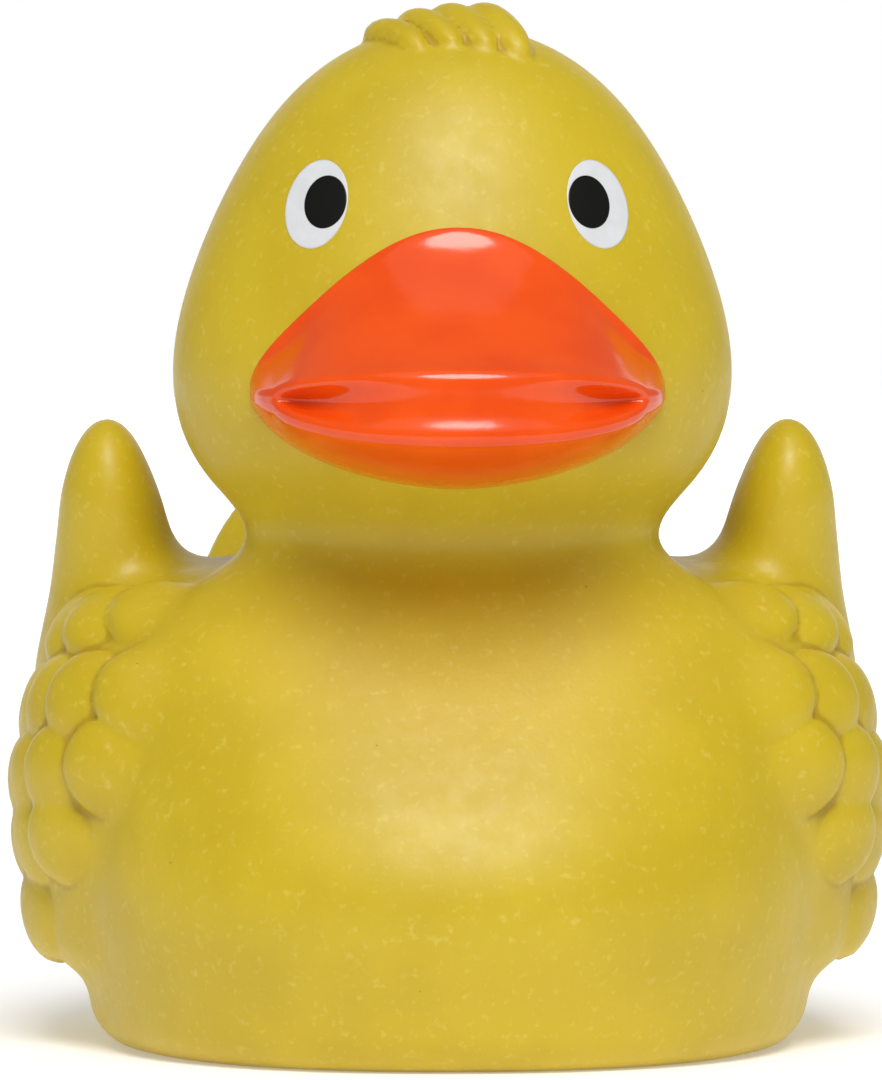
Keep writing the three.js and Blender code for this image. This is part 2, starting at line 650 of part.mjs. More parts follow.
// One mesh, with a group of triangles for each finish
const geometry = new THREE.BufferGeometry();
geometry.setAttribute("position", new THREE.BufferAttribute(casting.vertProperties, casting.numProp));
geometry.setIndex(new THREE.BufferAttribute(casting.triVerts, 1));
const finishOf = new Map(finished.map((solid, i) => [solid.originalID(), i]));
casting.runOriginalID.forEach((id, run) => {
  const start = casting.runIndex[run];
  geometry.addGroup(start, casting.runIndex[run + 1] - start, finishOf.get(id));
});
geometry.computeVertexNormals();

const duck = new THREE.Mesh(geometry, finishes);
duck.name = "duck";

const part = new THREE.Group();
part.name = "rubber_duck";
part.add(duck);
export default part;
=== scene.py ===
"""Looks of the bath duck: one fine skin over the casting, a lacquered bill and printed eyes."""

import math

import bpy
import numpy as np
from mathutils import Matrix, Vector


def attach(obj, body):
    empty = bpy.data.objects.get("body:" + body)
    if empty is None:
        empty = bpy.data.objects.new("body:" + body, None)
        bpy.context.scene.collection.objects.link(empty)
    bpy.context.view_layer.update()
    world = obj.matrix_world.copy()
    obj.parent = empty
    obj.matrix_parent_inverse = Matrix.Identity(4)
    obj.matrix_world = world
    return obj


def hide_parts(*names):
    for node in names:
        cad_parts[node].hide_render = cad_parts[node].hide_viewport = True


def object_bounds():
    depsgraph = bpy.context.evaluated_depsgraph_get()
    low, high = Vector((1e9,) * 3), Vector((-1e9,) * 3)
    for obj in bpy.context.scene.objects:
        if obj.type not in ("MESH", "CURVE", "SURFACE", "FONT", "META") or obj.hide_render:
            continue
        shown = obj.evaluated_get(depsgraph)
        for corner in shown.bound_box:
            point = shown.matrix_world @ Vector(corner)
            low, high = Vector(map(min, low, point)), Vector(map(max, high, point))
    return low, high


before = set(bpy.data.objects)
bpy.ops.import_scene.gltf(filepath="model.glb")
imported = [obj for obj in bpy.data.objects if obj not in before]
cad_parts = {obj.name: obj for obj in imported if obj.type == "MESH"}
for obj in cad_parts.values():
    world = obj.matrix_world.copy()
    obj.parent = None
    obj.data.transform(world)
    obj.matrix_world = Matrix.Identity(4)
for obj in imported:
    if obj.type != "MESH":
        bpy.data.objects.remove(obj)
cad_low, cad_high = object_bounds()

MM = 0.001

# Trunk in millimetres, from the base up. A rise is measured from the level below, a reach from the origin.
BASE_WIDTH, BASE_FRONT, BASE_BACK, BASE_EDGE_ROUND = 59, 31.5, 34, 3.2
BILGE_RISE, BILGE_WIDTH, BILGE_FRONT, BILGE_BACK = 11, 63.4, 34.6, 37
BELLY_RISE, BELLY_WIDTH, BELLY_FRONT, BELLY_BACK = 13, 62, 30.2, 33
SHOULDER_RISE, SHOULDER_WIDTH, SHOULDER_FRONT, SHOULDER_BACK = 10, 54, 23.7, 22
COLLAR_RISE, COLLAR_WIDTH, COLLAR_FRONT, COLLAR_BACK = 4.6, 41.4, 20.9, 11.5
NECK_RISE, NECK_WIDTH, NECK_FRONT, NECK_BACK = 3.2, 34.2, 19.8, 6.8
JOWL_RISE, JOWL_WIDTH, JOWL_FRONT, JOWL_BACK = 5.2, 39.6, 23.4, 9.8
CHEEK_RISE, HEAD_WIDTH, FACE_REACH, NAPE_REACH = 9, 45.8, 28, 13
CROWN_RISE, CROWN_TAPER = 28.3, 1.2
BODY_CENTRE_BACK, HEAD_CENTRE_FRONT = 1, 10.8
BODY_SQUARENESS, HEAD_SQUARENESS = 2.25, 2.05

# Wings: one wide form across the body, level by level, that shows as a pad on each flank
WING_FOOT, WING_TOP, WING_SQUARENESS = 2.5, 41, 3.2
WING_LOW_RISE, WING_LOW_WIDTH, WING_LOW_FRONT, WING_LOW_BACK = 7.5, 68.2, 20.5, 27
WING_PAD_RISE, WING_PAD_WIDTH, WING_PAD_FRONT, WING_PAD_BACK = 11, 70.4, 22.3, 29
WING_ROOT_RISE, WING_ROOT_WIDTH, WING_ROOT_FRONT, WING_ROOT_BACK = 12, 65.2, 19.3, 24
WING_SHELF_RISE, WING_SHELF_WIDTH, WING_SHELF_FRONT, WING_SHELF_BACK = 6, 63, 14, 11
WING_CENTRE_BACK = 3
WING_FOOT_CLOSE, WING_TOP_CLOSE, WING_BEND = 9.5, 10.4, 3

# Thumbs: the upright wing tips
THUMB_FOOT, THUMB_FOOT_OUT, THUMB_FOOT_BACK, THUMB_FOOT_THICK, THUMB_FOOT_LENGTH = 24, 26.3, 7, 16, 20
THUMB_RISE, THUMB_OUT, THUMB_BACK, THUMB_THICK, THUMB_LENGTH = 27.8, 28.4, 1, 7.2, 10
THUMB_FOOT_CLOSE, THUMB_TIP_CLOSE = 8, 7.5

# Feathers on the wings: coverts in rows from the front edge, then long flight feathers behind them
COVERT_COUNTS = [3, 5, 6, 6, 5]
COVERT_TOP, COVERT_ROW_PITCH, COVERT_COLUMN_DROP = 36.2, 6.2, 0.6
COVERT_FRONT_ANGLE, COVERT_ROW_BEND, COVERT_COLUMN_PITCH = -48, 3, 10.8
COVERT_LENGTH, COVERT_WIDTH, COVERT_THICK, COVERT_RISE_ANGLE = 8.6, 8.2, 3.8, 10
FLIGHT_COUNT, FLIGHT_TOP, FLIGHT_PITCH, FLIGHT_ANGLE = 3, 27, 5.8, 40
FLIGHT_LENGTH, FLIGHT_WIDTH, FLIGHT_THICK, FLIGHT_RISE_ANGLE = 16, 7, 3.4, 16
FEATHER_TIP_LIFT, FEATHER_SINK, FEATHER_ROOT = 14, 0.6, 3

# Tail: a broad leaf that leans back as it rises
TAIL_FOOT, TAIL_ROOT_RISE, TAIL_HEIGHT, TAIL_WIDTH = 12, 22, 17, 41.8
TAIL_FOOT_THICK, TAIL_ROOT_THICK, TAIL_TIP_THICK = 36, 16, 8
TAIL_FOOT_BACK, TAIL_ROOT_BACK, TAIL_TIP_BACK = 17, 29.6, 36.4

# Crest: slanting locks side by side over the front of the crown
LOCK_COUNT, LOCK_PITCH, LOCK_LENGTH, LOCK_LEAN = 4, 2.75, 7, 3.8
LOCK_SMALL, LOCK_LARGE, LOCK_SINK, LOCK_TAPER = 3.2, 4.6, 0, 0.4
CREST_FRONT, CREST_SIDE = 2.6, -0.5
LOCK_STEPS = 48

# Bill: a wide flared beak with a shallow mouth face between two rounded lips
BILL_WIDTH, BILL_LENGTH, BILL_RIDGE_RISE, BILL_CORNER_RISE, BILL_DROP = 33.6, 10.5, 7.6, 6, 7.8
MOUTH_DROP, MOUTH_WIDTH, MOUTH_CORNER_HOLLOW = 1.7, 29.6, 2.4
UPPER_LIP_LIFT, LOWER_LIP_DROP, LOWER_LIP_LEAD = 1.5, 2.3, 0.8
UPPER_LIP_ROUND, LOWER_LIP_ROUND = 0.7, 1
BILL_MARGIN, BILL_MARGIN_STEP, BILL_ROOT_DEPTH = 1.1, 0.25, 5
BILL_ROOT_PULL, BILL_LIP_PULL, BILL_CENTRE_TURN, BILL_SIDE_TURN, BILL_LIP_TURN = 4, 5, 2, 55, 68
BILL_RIDGE_BEND, BILL_CORNER_BEND, BILL_CHIN_BEND, BILL_CHIN_FALL = 1.9, 4, 1.8, 0.55
BILL_PLAN_BEND, BILL_UNDER_BEND, BILL_LIP_FALL, MOUTH_BEND = 2.15, 2, 9, 0.6
BILL_MARGIN_BEND, MOUTH_CORNER_BEND = 3, 3.4
UPPER_LIP_TURN, LOWER_LIP_TURN, LOWER_LIP_END_TURN, LOWER_LIP_PULL = 80, 32, -40, 0.9

# Eyes: printed ovals that lean in at the top
EYE_SPREAD, EYE_RISE, EYE_WIDTH, EYE_HEIGHT, EYE_LEAN = 22.8, 13.6, 5.6, 7.7, 7
PUPIL_WIDTH, PUPIL_HEIGHT, PUPIL_INSET, PUPIL_LEAN = 3.7, 4.6, 0.85, 1
PRINT_LAYER, PRINT_DEPTH = 0.03, 0.25

# How softly the forms run into each other, and how fine the skin is
TAIL_BLEND, WING_BLEND, THUMB_BLEND, FEATHER_BLEND, LOCK_BLEND = 5, 1.2, 3.5, 0.2, 0.35
SKIN_PITCH = 0.46
SKIN_TRIANGLES = 185000
SKIN_MARGIN = 2

# A small step to measure slopes by, rounds of the fitting loops, and least values that keep divisions safe
NUDGE = 0.01
CROWN_HALVINGS, SETTLE_STEPS, PRINT_FIT_STEPS = 30, 3, 8
LEAST_SHARE, LEAST_SLOPE, LEAST_SIZE, LEAST_STEEPNESS = 1e-9, 1e-4, 1e-6, 0.01

# Levels
bilge = BILGE_RISE
belly = bilge + BELLY_RISE
shoulder = belly + SHOULDER_RISE
collar = shoulder + COLLAR_RISE
neck = collar + NECK_RISE
jowl = neck + JOWL_RISE
cheek = jowl + CHEEK_RISE
mouth = cheek - MOUTH_DROP
wing_low = WING_FOOT + WING_LOW_RISE
wing_pad = wing_low + WING_PAD_RISE
wing_root = wing_pad + WING_ROOT_RISE
wing_shelf = wing_root + WING_SHELF_RISE
thumb_top = THUMB_FOOT + THUMB_RISE
tail_root = TAIL_FOOT + TAIL_ROOT_RISE
tail_top = tail_root + TAIL_HEIGHT


def smooth_through(places, values):
    """A curve through values at places that bends evenly and is level at both ends."""
    places = np.array(places, float)
    values = np.array(values, float)
    spans = np.diff(places)
    steps = np.diff(values) / spans
    count = len(places)
    matrix = np.eye(count)
    pulls = np.zeros(count)
    for i in range(1, count - 1):
        before, after = 1 / spans[i - 1], 1 / spans[i]
        matrix[i, i - 1:i + 2] = before, 2 * (before + after), after
        pulls[i] = 3 * (steps[i - 1] * before + steps[i] * after)
    slopes = np.linalg.solve(matrix, pulls)

    def curve(place):
        at = np.clip(place, places[0], places[-1])
        i = np.clip(np.searchsorted(places, at) - 1, 0, count - 2)
        t = (at - places[i]) / spans[i]
        lean = (1 - t) * (slopes[i] - steps[i]) - t * (slopes[i + 1] - steps[i])
        return values[i] + spans[i] * t * (steps[i] + (1 - t) * lean)

    return curve


trunk_levels = [0, bilge, belly, shoulder, collar, neck, jowl, cheek]
trunk_width = smooth_through(trunk_levels, [
    BASE_WIDTH, BILGE_WIDTH, BELLY_WIDTH, SHOULDER_WIDTH, COLLAR_WIDTH, NECK_WIDTH, JOWL_WIDTH, HEAD_WIDTH,
])
trunk_front = smooth_through(trunk_levels, [
    BASE_FRONT, BILGE_FRONT, BELLY_FRONT, SHOULDER_FRONT, COLLAR_FRONT, NECK_FRONT, JOWL_FRONT, FACE_REACH,
])
trunk_back = smooth_through(trunk_levels, [
    BASE_BACK, BILGE_BACK, BELLY_BACK, SHOULDER_BACK, COLLAR_BACK, NECK_BACK, JOWL_BACK, NAPE_REACH,
])
trunk_centre = smooth_through([bilge, neck], [BODY_CENTRE_BACK, -HEAD_CENTRE_FRONT])
trunk_squareness = smooth_through([shoulder, neck], [BODY_SQUARENESS, HEAD_SQUARENESS])

wing_levels = [wing_low, wing_pad, wing_root, wing_shelf]
wing_width = smooth_through(
    wing_levels, [WING_LOW_WIDTH, WING_PAD_WIDTH, WING_ROOT_WIDTH, WING_SHELF_WIDTH]
)
wing_front = smooth_through(
    wing_levels, [WING_LOW_FRONT, WING_PAD_FRONT, WING_ROOT_FRONT, WING_SHELF_FRONT]
)
wing_back = smooth_through(wing_levels, [WING_LOW_BACK, WING_PAD_BACK, WING_ROOT_BACK, WING_SHELF_BACK])
thumb_levels = [THUMB_FOOT, thumb_top]
thumb_out = smooth_through(thumb_levels, [THUMB_FOOT_OUT, THUMB_OUT])
thumb_back = smooth_through(thumb_levels, [THUMB_FOOT_BACK, THUMB_BACK])
thumb_thick = smooth_through(thumb_levels, [THUMB_FOOT_THICK, THUMB_THICK])
thumb_length = smooth_through(thumb_levels, [THUMB_FOOT_LENGTH, THUMB_LENGTH])

tail_levels = [TAIL_FOOT, tail_root, tail_top]
tail_back = smooth_through(tail_levels, [TAIL_FOOT_BACK, TAIL_ROOT_BACK, TAIL_TIP_BACK])
tail_thick = smooth_through(tail_levels, [TAIL_FOOT_THICK, TAIL_ROOT_THICK, TAIL_TIP_THICK])


def crown_left(rise):
    """Square of the head's share that is left at a share of the crown's rise."""
    return 1 - rise**2 * (1 + CROWN_TAPER * (1 - rise) ** 2)


def past_end(z, low, low_rise, high, high_rise):
    """Share of the way from the last full level to the rounded end of a form, below or above."""
    return np.maximum(np.maximum((low - z) / low_rise, (z - high) / high_rise), 0)


def trunk_section(z):
    """Middle, half width, reach to the front and the back, and squareness of the trunk at a height."""
    high = np.clip(z, 0, None)
    lip = np.clip(1 - high / BASE_EDGE_ROUND, 0, 1)
    inset = BASE_EDGE_ROUND * (1 - np.sqrt(1 - lip**2))
    centre = trunk_centre(high)
    return (
        centre,
        trunk_width(high) / 2 - inset,
        trunk_front(high) + centre - inset,
        trunk_back(high) - centre - inset,
        trunk_squareness(high),
    )


def face_at(x, z):
    """Front surface of the trunk at a place across and up."""
    centre, half, front, _, squareness = trunk_section(z)
    share = np.sqrt(np.maximum(crown_left(np.maximum(0, (z - cheek) / CROWN_RISE)), LEAST_SHARE))
    across = np.minimum(1, np.abs(x) / (half * share))
    return centre - front * share * (1 - across**squareness) ** (1 / squareness)


def crown_at(x, y):
    """Height of the crown over a place on the head."""
    reach = FACE_REACH - HEAD_CENTRE_FRONT if y < -HEAD_CENTRE_FRONT else NAPE_REACH + HEAD_CENTRE_FRONT
    share = (2 * x / HEAD_WIDTH) ** 2 + ((y + HEAD_CENTRE_FRONT) / reach) ** 2
    low, high = 0.0, 1.0
    for _ in range(CROWN_HALVINGS):
        middle = (low + high) / 2
        if crown_left(middle) > share:
            low = middle
        else:
            high = middle
    return cheek + CROWN_RISE * low


# The forms as fields over a grid: negative inside, in millimetres from the surface
low_corner = np.array(cad_low) / MM - SKIN_MARGIN
high_corner = np.array(cad_high) / MM + SKIN_MARGIN
grid_axes = [np.arange(a, b, SKIN_PITCH, dtype=np.float32) for a, b in zip(low_corner, high_corner)]

# Distance from the middle plane, place along the duck and height of the grid's points
GX = np.abs(grid_axes[0])[:, None, None]
GY = grid_axes[1][None, :, None]
GZ = grid_axes[2]


def as_distance(values):
    """A field turned into a distance near its surface."""
    slopes = np.gradient(values, SKIN_PITCH)
    steep = np.sqrt(sum(slope**2 for slope in slopes))
    return values / np.maximum(steep, LEAST_SLOPE)


def oval_size(middle_x, middle_y, half, front, back, squareness):
    """Stacked ovals over the grid as shares of their own reach: one on the surface, less inside."""
    middle_x, middle_y, half, front, back, squareness = (
        np.broadcast_to(np.asarray(value, np.float32), GZ.shape)
        for value in (middle_x, middle_y, half, front, back, squareness)
    )
    along = GY - middle_y
    reach = np.where(along < 0, front, back)
    across = np.abs((GX - middle_x) / half) ** squareness + np.abs(along / reach) ** squareness
    return across ** (1 / squareness)


def closed_field(size, end, bend):
    """Field of stacked ovals that close in rounded ends."""
    return as_distance((size**bend + end**bend) ** (1 / bend) - 1)


def blended(a, b, width):
    """Union of two fields with a soft joint of a width."""
    share = np.clip(0.5 + 0.5 * (b - a) / width, 0, 1)
    return b + (a - b) * share - width * share * (1 - share)


def trunk_field():
    left = crown_left(np.maximum(0, (GZ - cheek) / CROWN_RISE))
    centre, half, front, back, squareness = trunk_section(GZ)
    return as_distance(oval_size(0, centre, half, front, back, squareness) ** 2 - left)


def wing_end(z):
    low, high = WING_FOOT + WING_FOOT_CLOSE, WING_TOP - WING_TOP_CLOSE
    return past_end(z, low, WING_FOOT_CLOSE, high, WING_TOP_CLOSE)


def wing_field():
    front = wing_front(GZ) + WING_CENTRE_BACK
    back = wing_back(GZ) - WING_CENTRE_BACK
    size = oval_size(0, WING_CENTRE_BACK, wing_width(GZ) / 2, front, back, WING_SQUARENESS)
    return closed_field(size, wing_end(GZ), WING_BEND)


def thumb_field():
    half = thumb_length(GZ) / 2
    size = oval_size(thumb_out(GZ), thumb_back(GZ), thumb_thick(GZ) / 2, half, half, 2)
    low, high = THUMB_FOOT + THUMB_FOOT_CLOSE, thumb_top - THUMB_TIP_CLOSE
    return closed_field(size, past_end(GZ, low, THUMB_FOOT_CLOSE, high, THUMB_TIP_CLOSE), 2)


def tail_field():
    half = tail_thick(GZ) / 2
    size = oval_size(0, tail_back(GZ), TAIL_WIDTH / 2, half, half, 2)
    return closed_field(size, past_end(GZ, tail_root, TAIL_ROOT_RISE, tail_root, TAIL_HEIGHT), 2)


def block_round(place, reach):
    """Slices of the grid within a reach of a place, and the points there."""
    slices = tuple(
        slice(*np.searchsorted(axis, (at - reach, at + reach))) for axis, at in zip(grid_axes, place)
    )
    x, y, z = (axis[part] for axis, part in zip(grid_axes, slices))
    return slices, (x[:, None, None], y[None, :, None], z[None, None, :])


def wing_place(angle, z):
    """Place on the outer face of the wing, by the angle round its section from the side."""
    share = max(1 - wing_end(z) ** WING_BEND, 0) ** (1 / WING_BEND)
    reach = wing_front(z) + WING_CENTRE_BACK if angle < 0 else wing_back(z) - WING_CENTRE_BACK
    across, along = math.cos(angle), math.sin(angle)
    size = (abs(across) ** WING_SQUARENESS + abs(along) ** WING_SQUARENESS) ** (1 / WING_SQUARENESS)
    return np.array([
        wing_width(z) / 2 * share * across / size,
        WING_CENTRE_BACK + reach * share * along / size,
        z,
    ])


def unit(vector):
    return vector / np.linalg.norm(vector)


def turned(vector, axis, angle):
    """A vector turned about an axis that stands square to it."""
    return vector * math.cos(angle) + np.cross(axis, vector) * math.sin(angle)


def add_feather(field, angle, z, length, width, thick, rise):
    """Joins one feather to the field on both sides: a domed oval with straight sides below."""
    angle, rise, lift = map(math.radians, (angle, rise, FEATHER_TIP_LIFT))
    place = wing_place(angle, z)
    back = unit(wing_place(angle + NUDGE, z) - place)
    up = unit(wing_place(angle, z + NUDGE) - place)
    out = unit(np.cross(back, up))
    along = back * math.cos(rise) + up * math.sin(rise)
    along = unit(along - out * along.dot(out))
    side = np.cross(out, along)
    along, out = turned(along, side, -lift), turned(out, side, -lift)
    place = place - out * FEATHER_SINK
    for hand in (1, -1):
        flip = np.array([hand, 1, 1])
        slices, points = block_round(place * flip, length / 2 + SKIN_MARGIN)
        offset = [axis - at for axis, at in zip(points, place * flip)]
        run, across, high = (
            sum(axis * part for axis, part in zip(offset, direction * flip))
            for direction in (along, side, out)
        )
        radii = (length / 2, width / 2, thick / 2)
        shares = [value / radius for value, radius in zip((run, across, np.maximum(high, 0)), radii)]
        size = np.sqrt(sum(share**2 for share in shares)) + LEAST_SIZE
        slope = np.sqrt(sum((share / radius) ** 2 for share, radius in zip(shares, radii)))
        steep = slope / size + LEAST_SIZE
        dome = np.maximum((size - 1) / steep, -high - FEATHER_ROOT)
        field[slices] = blended(field[slices], dome, FEATHER_BLEND)


def add_feathers(field):
    for row, count in enumerate(COVERT_COUNTS):
        for column in range(count):
            angle = COVERT_FRONT_ANGLE + (row - 1) ** 2 * COVERT_ROW_BEND + column * COVERT_COLUMN_PITCH
            z = COVERT_TOP - row * COVERT_ROW_PITCH - column * COVERT_COLUMN_DROP
            add_feather(field, angle, z, COVERT_LENGTH, COVERT_WIDTH, COVERT_THICK, COVERT_RISE_ANGLE)
    for row in range(FLIGHT_COUNT):
        z = FLIGHT_TOP - row * FLIGHT_PITCH
        add_feather(field, FLIGHT_ANGLE, z, FLIGHT_LENGTH, FLIGHT_WIDTH, FLIGHT_THICK, FLIGHT_RISE_ANGLE)


def add_lock(field, index):
    """Joins one lock of the crest: a row of balls along its path over the crown."""
    radius = (LOCK_SMALL + (LOCK_LARGE - LOCK_SMALL) * index / (LOCK_COUNT - 1)) / 2
    middle = CREST_SIDE + (index - (LOCK_COUNT - 1) / 2) * LOCK_PITCH
    ends = []
    for run in (-0.5, 0, 0.5):
        x = middle + run * LOCK_LEAN
        y = -HEAD_CENTRE_FRONT - CREST_FRONT - run * LOCK_LENGTH
        ends.append(np.array([x, y, crown_at(x, y) - LOCK_SINK]))
    start, centre, end = ends
    slices, points = block_round(centre, LOCK_LENGTH / 2 + LOCK_LARGE)
    lock = np.full(field[slices].shape, np.inf, np.float32)
    for run in np.linspace(-1, 1, LOCK_STEPS):
        at = centre + run * (end - start) / 2 + run**2 * ((end + start) / 2 - centre)
        girth = radius * math.sqrt(1 - run**4) * (1 - LOCK_TAPER * (1 + run) / 2)
        away = np.sqrt(sum((axis - part) ** 2 for axis, part in zip(points, at)))
        lock = np.minimum(lock, away - girth)
    field[slices] = blended(field[slices], lock, LOCK_BLEND)


def sampled(field, places):
    """Field values between grid points; places count in grid steps."""
    base = np.clip(places.astype(int), 0, np.array(field.shape) - 2)
    t = places - base
    value = 0
    for corner in np.ndindex(2, 2, 2):
        weight = np.prod(np.where(corner, t, 1 - t), axis=1)
        i, j, k = (base + corner).T
        value = value + weight * field[i, j, k]
    return value


def skin_of(field):
    """Corners and four-sided faces of the surface where the field is zero."""
    inside = field < 0
    step = np.eye(3, dtype=int)
    half = np.eye(3) / 2
    crossing, quads = [], []

    def cell_id(cells):
        return np.ravel_multi_index(cells.T, field.shape)

    for axis in range(3):
        lower = tuple(slice(0, -1) if i == axis else slice(None) for i in range(3))
        upper = tuple(slice(1, None) if i == axis else slice(None) for i in range(3))
        edges = np.argwhere(inside[lower] != inside[upper])
        first, second = field[tuple(edges.T)], field[tuple((edges + step[axis]).T)]
        places = edges + step[axis] * (first / (first - second))[:, None]
        across, beyond = step[(axis + 1) % 3], step[(axis + 2) % 3]
        corners = [cell_id(edges - offset) for offset in (across + beyond, beyond, 0 * beyond, across)]
        for corner in corners:
            crossing.append((corner, places))
        ring = np.stack(corners, axis=1)
        ring[first > 0] = ring[first > 0][:, ::-1]
        quads.append(ring)
    ids = np.concatenate([corner for corner, _ in crossing])
    places = np.concatenate([place for _, place in crossing])
    cells, owner = np.unique(ids, return_inverse=True)
    count = np.bincount(owner)
    corners = np.stack([np.bincount(owner, places[:, i]) / count for i in range(3)], axis=1)
    for _ in range(SETTLE_STEPS):
        slope = np.stack([sampled(field, corners + s) - sampled(field, corners - s) for s in half], axis=1)
        steep = np.maximum((slope**2).sum(axis=1), LEAST_STEEPNESS * SKIN_PITCH**2)
        corners = corners - slope * (sampled(field, corners) / steep)[:, None]
    return corners * SKIN_PITCH + low_corner, np.searchsorted(cells, np.concatenate(quads))


def smooth_piece(name, corners, faces):
    """A smooth-shaded mesh piece of the duck from corners in millimetres."""
    mesh = bpy.data.meshes.new(name)
    mesh.from_pydata((np.asarray(corners, float) * MM).tolist(), [], faces)
    mesh.polygons.foreach_set("use_smooth", [True] * len(mesh.polygons))
    piece = bpy.data.objects.new(name, mesh)
    bpy.context.scene.collection.objects.link(piece)
    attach(piece, "root")
    return piece


def thinned(piece, triangles):
    """Fewer triangles where the surface is flat, with the shape kept."""
    piece.data.calc_loop_triangles()
    count = len(piece.data.loop_triangles)
    if count <= triangles:
        return
    modifier = piece.modifiers.new("thin", "DECIMATE")
    modifier.ratio = triangles / count
    graph = bpy.context.evaluated_depsgraph_get()
    thin = bpy.data.meshes.new_from_object(piece.evaluated_get(graph))
    piece.modifiers.clear()
    piece.data = thin
    thin.polygons.foreach_set("use_smooth", [True] * len(thin.polygons))


def mark_hollows(piece, field):
    """Notes for the material how hollow the skin is at each corner, by how the field bends there; the
    material paints shade into the hollows by it.
    """
    bend = sum(np.gradient(np.gradient(field, SKIN_PITCH, axis=i), SKIN_PITCH, axis=i) for i in range(3))
    corners = np.empty(3 * len(piece.data.vertices), np.float32)
    piece.data.vertices.foreach_get("co", corners)
    places = (corners.reshape(-1, 3) / MM - low_corner) / SKIN_PITCH
    hollow = piece.data.attributes.new("hollow", "FLOAT", "POINT")
    hollow.data.foreach_set("value", -sampled(bend, places).astype(np.float32))


def build_skin():
    body = blended(trunk_field(), tail_field(), TAIL_BLEND)
    for index in range(LOCK_COUNT):
        add_lock(body, index)
    wings = blended(wing_field(), thumb_field(), THUMB_BLEND)
    add_feathers(wings)
    field = np.maximum(blended(body, wings, WING_BLEND), -GZ)
    corners, faces = skin_of(field)
    piece = smooth_piece("duck_skin", corners, faces.tolist())
    thinned(piece, SKIN_TRIANGLES)
    mark_hollows(piece, field)
    return piece


# How finely the bill is divided
BILL_COLUMNS, BILL_POINTS, BILL_END_SHARE = 120, 110, 0.995
SLOPE_POINTS, LIP_POINTS, FACE_POINTS, BILL_SOFTENING = 40, 10, 16, 4

# An end slope of a cubic is three times its handle, and two opposite ones bulge it by a quarter of either
SLOPE_PER_HANDLE, SLOPE_PER_BULGE = 3, 4


def arc(middle, radius, turns):
    return [(middle[0] - radius * math.cos(turn), middle[1] + radius * math.sin(turn)) for turn in turns]


def eased(start, end, start_slope, end_slope, count):
    """Points of a cubic between two places that leaves and arrives along given slopes."""
    t = np.linspace(0, 1, count + 2)[1:-1, None]
    start, end, start_slope, end_slope = map(np.array, (start, end, start_slope, end_slope))
    curve = (2 * t**3 - 3 * t**2 + 1) * start + (t**3 - 2 * t**2 + t) * start_slope
    return (curve + (3 * t**2 - 2 * t**3) * end + (t**3 - t**2) * end_slope).tolist()


def evenly(points, count):
    """A path of points taken again at even distances and softened, with its ends kept."""
    points = np.array(points)
    run = np.concatenate([[0], np.cumsum(np.linalg.norm(np.diff(points, axis=0), axis=1))])
    at = np.linspace(0, run[-1], count)
    path = np.stack([np.interp(at, run, points[:, i]) for i in range(2)], axis=1)
    for _ in range(BILL_SOFTENING):
        path[1:-1] = (path[:-2] + 2 * path[1:-1] + path[2:]) / 4
    return path


def bill_lips(away):
    """Edges of the upper and the lower lip at a share of the half width away from the middle."""
    corner = face_at(BILL_WIDTH / 2, mouth)
    plan = (1 - away**BILL_PLAN_BEND) ** (1 / BILL_PLAN_BEND)
    lip = corner - (FACE_REACH + BILL_LENGTH + corner) * plan
    opened = max(0, 1 - (away * BILL_WIDTH / MOUTH_WIDTH) ** 2) ** MOUTH_BEND
    soft = math.sqrt(1 - away**BILL_LIP_FALL)
    upper_round, lower_round = UPPER_LIP_ROUND * soft, LOWER_LIP_ROUND * soft
    upper = (lip + LOWER_LIP_LEAD * opened + upper_round, mouth + UPPER_LIP_LIFT * opened)
    lower = (lip + lower_round, mouth - lower_round - LOWER_LIP_DROP * opened)
    upper_turns = np.radians(np.linspace(UPPER_LIP_TURN, 0, LIP_POINTS))
    lower_turns = np.radians(np.linspace(LOWER_LIP_TURN, LOWER_LIP_END_TURN, LIP_POINTS))
    return arc(upper, upper_round, upper_turns), arc(lower, lower_round, lower_turns)


def upper_slope(foot, lip, away):
    """Upper side of the bill, from its foot on the face down to the upper lip."""
    root_turn = math.radians(BILL_CENTRE_TURN + (BILL_SIDE_TURN - BILL_CENTRE_TURN) * away)
    lip_turn = math.radians(BILL_LIP_TURN)
    scale = SLOPE_PER_HANDLE * math.dist(foot, lip) / (BILL_LENGTH + BILL_RIDGE_RISE + BILL_CORNER_RISE)
    root_pull = scale * BILL_ROOT_PULL
    lip_pull = scale * BILL_LIP_PULL
    return eased(
        foot,
        lip,
        (-root_pull * math.sin(root_turn), -root_pull * math.cos(root_turn)),
        (-lip_pull * math.sin(lip_turn), -lip_pull * math.cos(lip_turn)),
        SLOPE_POINTS,
    )


def mouth_face(start, end, away):
    """Face of the mouth between the lips, which hollows into a wedge near each corner."""
    drop = start[1] - end[1]
    corner_share = math.sin(math.pi * min(1, away * BILL_WIDTH / MOUTH_WIDTH) ** MOUTH_CORNER_BEND)
    hollow = SLOPE_PER_BULGE * MOUTH_CORNER_HOLLOW * corner_share
    ledge = LOWER_LIP_PULL * drop
    ledge_slope = (-ledge * math.tan(math.radians(LOWER_LIP_TURN)) - hollow, -ledge)
    return eased(start, end, (hollow, -drop), ledge_slope, FACE_POINTS)


def underside(start, root, bottom):
    """Lower side of the bill, from the lower lip back to its root in the face."""
    run = np.linspace(0, 1, SLOPE_POINTS)[1:]
    fall = 1 - (1 - run) ** BILL_UNDER_BEND
    return zip(start[0] + (root - start[0]) * run, start[1] + (bottom - start[1]) * fall)


